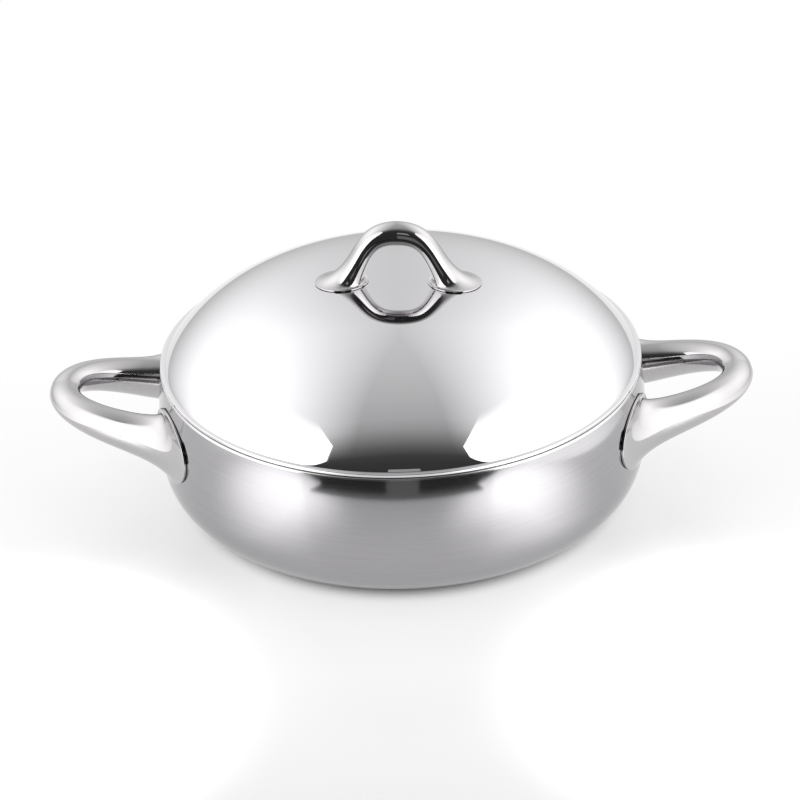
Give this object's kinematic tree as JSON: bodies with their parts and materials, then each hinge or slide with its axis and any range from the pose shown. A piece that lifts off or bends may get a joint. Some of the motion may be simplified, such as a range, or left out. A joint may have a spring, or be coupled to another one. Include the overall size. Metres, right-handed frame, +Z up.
{
  "type": "braiser",
  "caption": "Low round braiser with a domed lid, a loop handle on each side and an arched handle on the lid; the lid lifts off.",
  "frame": {"origin": "centre of the flat underside, on the surface that the pot stands on", "axes": "+Z up through the lid's handle, +X along the line of the two side handles, towards the right handle"},
  "size_m": [0.412, 0.286, 0.1679],
  "materials": {
    "satin_steel": "fine horizontal satin brushing",
    "aluminium": "bare rolled sheet, hidden inside",
    "lining_steel": "satin inside, polished rim",
    "lid_steel": "mirror polished",
    "handle_steel": "mirror polished casting",
    "weld_steel": "plain weld metal"
  },
  "bodies": {
    "pot": {"pot_skin": "satin_steel", "pot_core": "aluminium", "pot_lining": "lining_steel", "left_handle": "handle_steel", "right_handle": "handle_steel", "left_handle_welds": "weld_steel", "right_handle_welds": "weld_steel"},
    "lid": {"lid_shell": "lid_steel", "lid_handle": "handle_steel", "lid_handle_welds": "weld_steel"}
  },
  "joints": [
    {"name": "lid_lift", "type": "slide", "parent": "pot", "child": "lid", "axis": [0, 0, 1], "range_m": [0, 0.15]}
  ]
}
